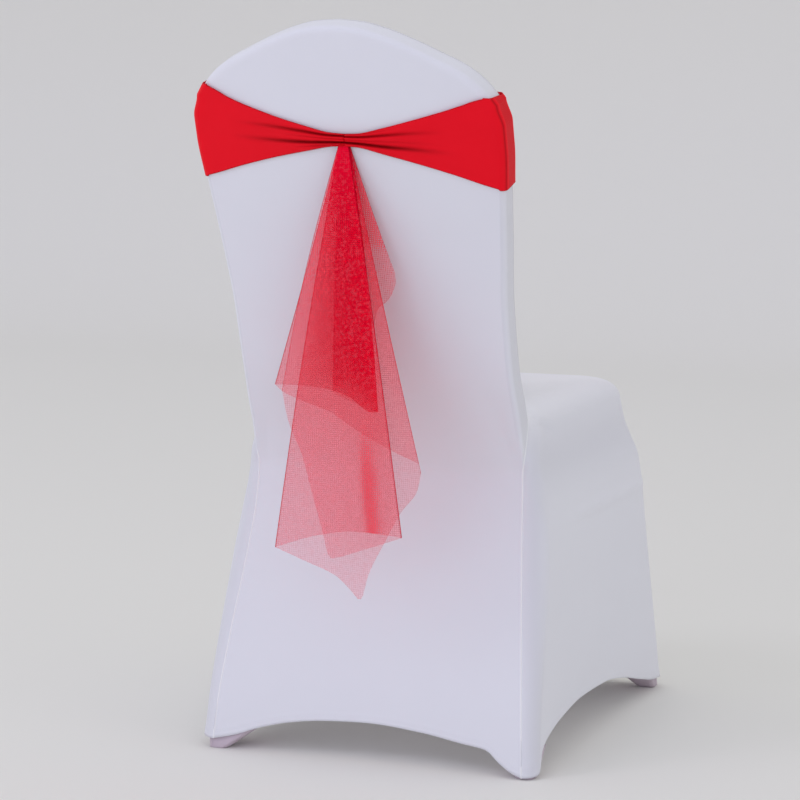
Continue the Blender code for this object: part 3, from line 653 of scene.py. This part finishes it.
# The pocket cloth has a cloudy tone and goes darker towards the bottom, over its lowest 8 mm.
pocket_from_top = pocket_shade.mark("from_hem")
pocket_low_dark = pocket_shade.math(
    "MULTIPLY_ADD", (pocket_from_top - 0.026) * 60.0, pocket_cloud, pocket_cloud * 0.3, clamp=True)
pocket_shade.tree.links.new(
    pocket_low_dark.mix((0.66, 0.56, 0.63, 1.0), (0.42, 0.35, 0.38, 1.0)).socket, pocket_shader.inputs["Base Color"])
pocket_bump = pocket_shade.node("Bump", inputs={"Height": pocket_weave, "Strength": 0.5, "Distance": 0.0003})
pocket_shade.tree.links.new(pocket_bump.socket, pocket_shader.inputs["Normal"])

for name, across, behind, inner, clear in zip(*FEET.values()):
    pocket = foot_pocket(name, across, behind, inner, clear)
    pocket.data.materials.append(pocket_cloth)
    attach(pocket, "root")
    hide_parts("pocket_" + name)

# Sash
# A closed band of red stretch knit round the backrest. A few stitches at the middle of the back draw it
# together, so that it fans out from narrow pleats there to its full width at both ends.

SASH_CLEAR = 0.0023
SASH_KNIT = 0.0011
SHOULDER_SLACK = 0.0014
SASH_FRONT_CLEAR = 0.0030
SASH_INSET = 0.0047
BEND_ROUND = 0.005
SASH_FULL = 0.0332
SASH_HALF = 0.196
PLEAT_HEIGHT = 0.0060
PLEAT_REACH = 0.130
SASH_DROP = 0.13
SASH_EDGE = {
    "across": (0.0, 0.018, 0.050, 0.090, 0.140, 0.180, 0.203),
    "top_left": (0.8025, 0.8035, 0.8105, 0.8210, 0.8355, 0.8500, 0.8570),
    "top_right": (0.8025, 0.8035, 0.8105, 0.8210, 0.8345, 0.8465, 0.8515),
    "bottom_left": (0.7875, 0.7860, 0.7795, 0.7710, 0.7587, 0.7477, 0.7422),
    "bottom_right": (0.7875, 0.7860, 0.7790, 0.7700, 0.7570, 0.7448, 0.7385),
}
SASH_TROUGHS = {
    "side": (1, 1, -1, -1, -1, 1, 1, -1),
    "start": (-0.40, 0.62, -0.42, 0.52, 0.00, 0.10, -0.80, 0.86),
    "end": (-0.05, 0.36, -0.32, 0.33, -0.08, 0.18, -0.55, 0.75),
    "reach": (0.155, 0.150, 0.150, 0.140, 0.140, 0.090, 0.080, 0.080),
    "width": (0.0019, 0.0017, 0.0020, 0.0016, 0.0013, 0.0010, 0.0010, 0.0009),
    "depth": (1.00, 0.85, 1.00, 0.75, 0.25, 0.25, 0.35, 0.30),
}
GATHER_SHIFT = -0.0055


def outline_half(height):
    """Half width of the back's outline: the side edge, then the crown's curve above the shoulder."""
    across = np.linspace(0.0, CROWN["across"][-1], 60)
    over = np.interp(-height, -curve(CROWN, "across", "height", across), across)
    return np.where(height <= SHOULDER, curve(BACK_EDGE, "height", "half", height), np.maximum(over, 0.05))


def pleats(across, down, side, half_width):
    """Height of the gathered cloth: a swell that fades away from the gather, cut by troughs that fan out of it; and the
    painted shade that darkens the troughs and the notch at the gather.
    """
    swell = ease(1 - across / PLEAT_REACH)
    cut = np.zeros(np.broadcast(across, down).shape)
    for which, start, end, reach, width, depth in zip(*SASH_TROUGHS.values()):
        if which == side:
            line = start + (end - start) * across / reach
            off = (down - line) * half_width / (width * (0.7 + 1.1 * across / reach))
            cut = np.maximum(cut, depth * np.exp(-off ** 2) * ease((reach - across) / (0.65 * reach)))
    notch = 0.35 * np.exp(-(across / 0.0013) ** 2)
    tucked = ease((0.016 - across) / 0.010) * (down < 0)
    rounded = np.maximum(np.sqrt(1 - np.minimum(np.abs(down), 0.999) ** 3), 0.85 * tucked)
    raised = PLEAT_HEIGHT * swell * rounded
    trough = (0.8 * PLEAT_HEIGHT * swell + 0.0012) * cut
    return np.maximum(raised * (1 - notch) - trough, -0.0011), np.maximum(cut, notch)


def sash_block(kind, place, side, down):
    """Columns of the sash along one stretch of its way round (face, turn, rim, bend or front), and their painted shade.
    """
    across = place * SASH_HALF if kind == "face" else np.full_like(place, SASH_EDGE["across"][-1])
    hand = "left" if side > 0 else "right"
    top = curve(SASH_EDGE, "across", "top_" + hand, across)
    bottom = curve(SASH_EDGE, "across", "bottom_" + hand, across)
    if kind == "front":
        level_top = (SASH_EDGE["top_left"][-1] + SASH_EDGE["top_right"][-1]) / 2
        level_bottom = (SASH_EDGE["bottom_left"][-1] + SASH_EDGE["bottom_right"][-1]) / 2
        top = level_top + (top - level_top) * ease(place)
        bottom = level_bottom + (bottom - level_bottom) * ease(place)
    height = (top + bottom) / 2 + down * (top - bottom) / 2
    ahead = {"turn": EDGE_ROUND * (1 - np.cos(place)), "rim": EDGE_ROUND + place * (SASH_FULL - EDGE_ROUND)}
    ahead = ahead.get(kind, 0 * place if kind == "face" else SASH_FULL + 0 * place)
    level = height - ahead * SASH_DROP * (down + 1) / 2
    clear = SASH_CLEAR + SHOULDER_SLACK * ease((level - 0.79) / 0.05)
    half = outline_half(level)
    corner = EDGE_ROUND + clear
    shade = 0 * place + 0 * down
    if kind == "face":
        x = place * (half - EDGE_ROUND)
        raised, shade = pleats(across, down, side, (top - bottom) / 2)
        depth = -clear - raised
    elif kind == "turn":
        x = half - EDGE_ROUND + corner * np.sin(place)
        depth = EDGE_ROUND - corner * np.cos(place)
        # Painted shade: a dark crease line along the turn, on the right-hand end only.
        shade = shade + (0.55 * np.exp(-((place - 1.05) / 0.16) ** 2) if side < 0 else 0)
    elif kind == "rim":
        x = half + clear + 0 * place
        depth = EDGE_ROUND + place * (SASH_FULL - SASH_FRONT_CLEAR - EDGE_ROUND)
        # Painted shade: the rim is darker on the right-hand end only.
        shade = shade + (0.22 if side < 0 else 0)
    elif kind == "bend":
        x = half + clear - BEND_ROUND * (1 - np.cos(place))
        depth = SASH_FULL + SASH_INSET - BEND_ROUND * (1 - np.sin(place))
    else:
        x = place * (half + clear - BEND_ROUND)
        share = x / curve(BACK_EDGE, "height", "half", level)
        depth = SASH_FULL + padding(share, level) + SASH_INSET
    lifted = level - np.minimum(depth, 0) * math.sin(RECLINE) if kind in ("face", "turn") else level
    shift = GATHER_SHIFT * (1 - place) ** 2 if kind == "face" else 0.0
    base = np.stack([side * x + shift, back_y(np.minimum(x, half), lifted), lifted], -1)
    edge = (1 - np.abs(down)) * (top - bottom) / 2
    return np.concatenate([forward(base, depth), shade[..., None], edge[..., None]], -1)


def sash_band():
    """The whole way round, as columns: the left half's stretches, then the right half's in reverse."""
    down = np.linspace(1.0, -1.0, 61)[:, None]
    face = np.concatenate([[0.0], np.linspace(0, 1, 100)[1:] ** 1.6])
    front = np.linspace(1, 0, 40)[1:]
    stretches = (("face", face), ("turn", np.radians(np.linspace(0, 90, 10))[1:]), ("rim", np.linspace(0, 1, 8)[1:]),
                 ("bend", np.radians(np.linspace(0, 90, 8))), ("front", front))
    halves = []
    for side in (1, -1):
        halves.append(np.concatenate([sash_block(kind, place[None, :], side, down) for kind, place in stretches], 1))
    grid, shade, edge = np.split(np.concatenate([halves[0], halves[1][:, -2:0:-1]], 1), (3, 4), axis=-1)
    middle = grid[grid.shape[0] // 2]
    along = np.cumsum(np.linalg.norm(np.diff(middle, axis=0, prepend=middle[:1]), axis=-1))
    uv = np.stack(np.broadcast_arrays(along[None, :], -0.055 * down), -1)
    band = patch(lean(grid), uv, from_edge=edge[..., 0], drawn=shade[..., 0])
    return sew("sash_band", [band], SASH_KNIT, closed=True)


red_knit, red_shader, red_shade = new_material("red_knit", Roughness=0.5, Specular_IOR_Level=0.08)
red_place, red_across, red_along = cloth_uv(red_shade)
red_ribs = red_along.wave(0.0010) + red_across.wave(0.0009) * 0.5
red_cloud = red_shade.node("TexNoise", inputs={"Vector": red_place, "Scale": 14.0, "Detail": 3.0})
red_fine = red_shade.node("TexNoise", inputs={"Vector": red_place, "Scale": 900.0, "Detail": 1.0})
red_tone = red_shade.math("MULTIPLY_ADD", red_cloud, 0.7, red_fine * 0.25 - 0.1, clamp=True)
# Painted shade: the sash darkens to a deep red in its troughs and notch, along its right-hand turn and rim, and in a
# thin line along both edges.
red_painted_shade = red_shade.mark("drawn")
red_edge = red_shade.mark("from_edge").bell(0.0, 0.0009)
red_shadow = red_shade.math("MAXIMUM", red_painted_shade, red_edge * 0.45)
red_plain = red_tone.mix((0.99, 0.006, 0.020, 1.0), (0.87, 0.004, 0.015, 1.0))
red_colour = red_shadow.mix(red_plain, (0.28, 0.001, 0.003, 1.0))
red_shade.tree.links.new(red_colour.socket, red_shader.inputs["Base Color"])
red_bump = red_shade.node("Bump", inputs={"Height": red_ribs, "Strength": 0.35, "Distance": 0.0003})
red_shade.tree.links.new(red_bump.socket, red_shader.inputs["Normal"])

sash = sash_band()
sash.data.materials.append(red_knit)
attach(sash, "root")
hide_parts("sash")

# Sheer tail
# Two layers of fine red net, caught in the gather and hanging free in gores that fold back and forth.
# The net's cut edges are left raw; its folds show as darker lines.

TAIL_TOP = 0.7905
TAIL_NECK = -0.0036
TAIL_NECK_HALF = 0.0060
NECK_FRONT = 0.0866
NECK_STEP = 0.0006
END_FRONT = 0.1020
END_STEP = 0.0075
GORE_BILLOW = 0.35
GORE_SHARE = ((1 - np.cos(np.linspace(0, math.pi, 56))) / 2)[None, :]
NET_THICKNESS = 0.20
NET_GATHERED = 0.038
NET_PLEAT = 0.9
NET_PRESSED = (4.5, 3.0)
NET_DOUBLED = 0.40
LONG_FOLDS = {
    "across": (0.0711, -0.0841, 0.0885, -0.1031),
    "height": (0.4883, 0.3127, 0.2883, 0.3918),
    "bow": (0.0055, -0.0015, 0.0035, 0.0010),
}
LONG_HEMS = (
    ((0.064, 0.452), (0.045, 0.408), (0.033, 0.365), (0.021, 0.324), (0.007, 0.282), (-0.037, 0.296)),
    ((-0.055, 0.315), (-0.019, 0.316), (0.029, 0.308)),
    ((0.050, 0.274), (0.008, 0.258), (-0.015, 0.238), (-0.024, 0.229),
     (-0.037, 0.264), (-0.059, 0.306), (-0.078, 0.341), (-0.099, 0.370)),
)
SHORT_FOLDS = {
    "across": (-0.1005, 0.0937, -0.0409, 0.0220, -0.0568),
    "height": (0.4028, 0.4911, 0.4618, 0.4826, 0.6335),
    "bow": (0.0015, -0.0010, -0.0050, 0.0020, 0.0008),
}
SHORT_HEMS = (
    ((-0.064, 0.417), (-0.020, 0.439), (-0.006, 0.447), (0.018, 0.461), (0.056, 0.473), (0.083, 0.483)),
    ((0.066, 0.491), (0.031, 0.489), (-0.003, 0.480), (-0.034, 0.461)),
    ((-0.002, 0.474),),
    ((0.004, 0.497), (-0.030, 0.561), (-0.039, 0.590), (-0.046, 0.595), (-0.054, 0.605), (-0.059, 0.622)),
)
DENSE_PLEAT = {"height": (0.301, 0.320, 0.357, 0.393, 0.430), "across": (-0.0447, -0.0435, -0.0395, -0.0365, -0.0335)}


def gore(folds, hem, number, depth):
    """One gore between two folds: lines that fan out from the neck to its hem, each with a slight bow.

    The gore keeps its own depth but turns by half a step at each fold, and billows backwards in between.
    """
    x0, x1 = folds["across"][number:number + 2]
    z0, z1 = folds["height"][number:number + 2]
    bow0, bow1 = folds["bow"][number:number + 2]
    knots = np.array([(x0, z0), *hem, (x1, z1)])
    run = np.concatenate([[0.0], np.cumsum(np.hypot(*np.diff(knots, axis=0).T))])
    table = {"share": run / run[-1], "x": knots[:, 0], "z": knots[:, 1]}
    share = GORE_SHARE
    down = (np.linspace(0, 1, 120) ** 0.85)[:, None]
    way = math.copysign(1.0, x1 - x0)
    x_neck = TAIL_NECK + way * TAIL_NECK_HALF * (2 * share - 1)
    bow = (bow0 + (bow1 - bow0) * share) * np.sin(math.pi * down)
    x = x_neck + (curve(table, "share", "x", share) - x_neck) * down + bow
    z = TAIL_TOP + (curve(table, "share", "z", share) - TAIL_TOP) * down
    spread = (END_STEP - NECK_STEP) * down
    layer = depth + 0.5 * (2 * share - 1) ** 3
    y = NECK_FRONT + (END_FRONT - NECK_FRONT) * down - layer * (NECK_STEP + spread)
    y = y + GORE_BILLOW * spread * np.sin(math.pi * share) * (1 + 0.25 * np.sin(9 * share + 5 * down + number))
    width = np.abs(x[:, -1:] - x[:, :1])
    from_fold = np.minimum(share, 1 - share) * width
    from_edge = (1 - down) * (TAIL_TOP - z[-1:]) + 0 * share
    turn = 0.06 * (number - 1)
    uv = np.stack([x * math.cos(turn) + z * math.sin(turn), z * math.cos(turn) - x * math.sin(turn)], -1)
    return np.stack([x, y, z], -1), uv, from_fold, from_edge


def tail(name, folds, hems, first):
    """All gores of one layer of net, from its first depth on. Thick is how much light a gore stops, as an exponent.

    It grows towards the gather, where the net is gathered up, and along one dense pleat of the long layer's
    second gore. In the short layer it grows along the fold that its middle gores share, pressed flat, and where
    the last gore's edge is doubled.
    """
    patches = []
    for number, hem in enumerate(hems):
        points, uv, from_fold, from_edge = gore(folds, hem, number, first + number)
        thick = NET_THICKNESS + NET_GATHERED / (TAIL_TOP - points[..., 2] + 0.012)
        share = GORE_SHARE
        low = 1 - 0.8 * ease((0.535 - points[..., 2]) / 0.06)
        if first == 0 and number == 1:
            beside = curve(DENSE_PLEAT, "height", "across", points[..., 2]) - points[..., 0]
            pleat = NET_PLEAT * np.exp(-(beside / np.where(beside > 0, 0.011, 0.0075)) ** 2)
            thick = thick + pleat * ease((0.470 - points[..., 2]) / 0.10)
        if first > 0 and number == 1:
            thick = thick + NET_PRESSED[0] * share ** 2.5 * low
        if first > 0 and number == 2:
            thick = thick * 0.7 + NET_PRESSED[1] * (1 - share) ** 3 * low
        if first > 0 and number == 3:
            thick = thick + NET_DOUBLED * ease((share - 0.60) / 0.05) * ease((points[..., 2] - 0.655) / 0.02)
        patches.append(patch(points, uv, from_fold=from_fold, from_edge=from_edge, thick=thick))
    return sew(name, patches, 0.0)


red_net, net_shader, net_shade = new_material("red_net", Roughness=0.6, Specular_IOR_Level=0.02)
net_place, net_across, net_along = cloth_uv(net_shade)
net_dots = (net_across + net_along).wave(0.0050) * (net_across - net_along).wave(0.0050) * 0.5 + 0.5
net_fold = net_shade.mark("from_fold").bell(0.0, 0.0007)
net_edge = net_shade.mark("from_edge").bell(0.0, 0.0008)
net_thick = net_shade.mark("thick")
net_cell = net_shade.node("TexVoronoi", {"feature": "F1"}, {"Vector": net_place, "Scale": 380.0}, output=1)
net_chance = net_shade.node("SeparateColor", inputs={0: net_cell})
net_glint = net_shade.math("GREATER_THAN", net_chance, 0.72) * net_shade.math("EXPONENT", net_thick * -1.2)
net_exponent = net_thick * (net_dots * 1.0 + 0.5) * -1.0 - net_fold * 1.1 - net_edge * 0.12 - net_glint * 0.12
net_stop = net_shade.math("SUBTRACT", 1.0, net_shade.math("EXPONENT", net_exponent), clamp=True)
net_colour = (net_glint * 0.30).mix((0.99, 0.003, 0.035, 1.0), (1.0, 0.32, 0.38, 1.0))
net_colour = (net_fold * 0.9).mix(net_colour, (0.42, 0.001, 0.015, 1.0))
net_shade.tree.links.new(net_colour.socket, net_shader.inputs["Base Color"])
net_clear = net_shade.node("BsdfTransparent", inputs={"Color": (1.0, 0.960, 0.968, 1.0)})
net_cloth = Shade(net_shade.tree, net_shader.outputs[0])
net_mix = net_shade.node("MixShader", inputs={0: net_stop, 1: net_clear, 2: net_cloth})
net_shade.tree.links.new(net_mix.socket, net_shade.tree.nodes["Material Output"].inputs["Surface"])

for name, node, folds, hems, first, flat, area in (
        ("tail_net_long", "tail_long", LONG_FOLDS, LONG_HEMS, 0, (0.55, 0.56), 0.16),
        ("tail_net_short", "tail_short", SHORT_FOLDS, SHORT_HEMS, len(LONG_HEMS), (0.50, 0.38), 0.092)):
    net = tail(name, folds, hems, first)
    net.data.materials.append(red_net)
    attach(net, "root")
    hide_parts(node)

# Studio
# A pale paper sweep, one soft key light from the upper left of the view, and wide fills.

SWEEP_BACK = -3.8
SWEEP_ROUND = 1.5
SWEEP_WALL = -5.3
SWEEP_NEAR = 7.0
SWEEP_TOP = 5.0
SWEEP_HALF = 8.0

sweep_bend = [(SWEEP_BACK - SWEEP_ROUND * math.sin(a), SWEEP_ROUND - SWEEP_ROUND * math.cos(a))
              for a in np.radians(np.arange(6, 91, 6))]
sweep_points = np.array([(SWEEP_NEAR, 0.0), (SWEEP_BACK, 0.0)] + sweep_bend + [(SWEEP_WALL, SWEEP_TOP)])
sweep_across = np.array([-SWEEP_HALF, SWEEP_HALF])
sweep_grid = np.stack(np.broadcast_arrays(
    sweep_across[:, None], sweep_points[None, :, 0], sweep_points[None, :, 1]), -1)
sweep_columns = sweep_grid.shape[1]
sweep_mesh = bpy.data.meshes.new("floor")
sweep_faces = [(c, c + 1, sweep_columns + c + 1, sweep_columns + c) for c in range(sweep_columns - 1)]
sweep_mesh.from_pydata(sweep_grid.reshape(-1, 3).tolist(), [], sweep_faces)
sweep_mesh.shade_smooth()
floor = bpy.data.objects.new("floor", sweep_mesh)
bpy.context.collection.objects.link(floor)
paper, paper_shader, paper_shade = new_material("pale_paper", Roughness=0.9, Specular_IOR_Level=0.1)
paper_height = paper_shade.node("SeparateXYZ", inputs={0: paper_shade.node("TexCoord", output=3)}, output=2)
paper_up = paper_shade.math("MULTIPLY", paper_height, 0.8, clamp=True)
paper_shade.tree.links.new(
    paper_up.mix((0.847, 0.842, 0.803, 1.0), (0.812, 0.807, 0.735, 1.0)).socket, paper_shader.inputs["Base Color"])
floor.data.materials.append(paper)

STUDIO_LIGHTS = {
    "name": ("key", "fill_right", "fill_back", "glow_under"),
    "place": ((3.1, 2.9, 3.4), (-4.2, 1.2, 2.2), (1.2, 5.2, 1.7), (0.0, -0.02, 0.38)),
    "aim": ((0.0, 0.1, 0.5), (0.0, 0.1, 0.5), (0.0, 0.1, 0.5), (0.0, -0.02, 0.0)),
    "size": (1.5, 2.6, 2.6, 0.28),
    "power": (21.0, 6.6, 15.5, 0.165),
    "colour": ((0.98, 0.98, 1.12), (1.0, 1.0, 1.0), (0.98, 0.98, 1.12), (1.0, 0.93, 0.95)),
}
for light_name, place, aim, size, power, colour in zip(*STUDIO_LIGHTS.values()):
    lamp = bpy.data.lights.new(light_name, "AREA")
    lamp.shape = "DISK"
    lamp.size = size
    lamp.energy = power
    lamp.color = colour
    lamp_object = bpy.data.objects.new(light_name, lamp)
    bpy.context.collection.objects.link(lamp_object)
    lamp_object.location = place
    lamp_object.rotation_euler = (Vector(aim) - Vector(place)).to_track_quat("-Z", "Y").to_euler()

world = bpy.data.worlds.new("studio")
bpy.context.scene.world = world
world.use_nodes = True
sky = Shade(world.node_tree)
sky_way = sky.node("SeparateXYZ", inputs={0: sky.node("TexCoord")}, output=1)
sky_colour = sky.math("MAXIMUM", sky_way, 0.0).mix((1.0, 1.0, 1.0, 1.0), (1.0, 0.995, 1.24, 1.0))
world.node_tree.links.new(sky_colour.socket, world.node_tree.nodes["Background"].inputs["Color"])
world.node_tree.nodes["Background"].inputs["Strength"].default_value = 0.722
bpy.context.scene.view_settings.view_transform = "Standard"

# Camera
# The photograph's own view: from behind and a little to the right, just above the sash.

CAMERA_PLACE = Vector((-1.2561, 3.3468, 0.924))
CAMERA_TURN = 0.3688
CAMERA_DIP = 0.1347
CAMERA_LENS = 122.1

lens = bpy.data.cameras.new("view")
lens.lens = CAMERA_LENS
lens.sensor_width = 36.0
camera = bpy.data.objects.new("view", lens)
bpy.context.collection.objects.link(camera)
camera.location = CAMERA_PLACE
ahead = Vector((math.sin(CAMERA_TURN) * math.cos(CAMERA_DIP),
                -math.cos(CAMERA_TURN) * math.cos(CAMERA_DIP), -math.sin(CAMERA_DIP)))
camera.rotation_euler = ahead.to_track_quat("-Z", "Y").to_euler()
bpy.context.scene.camera = camera
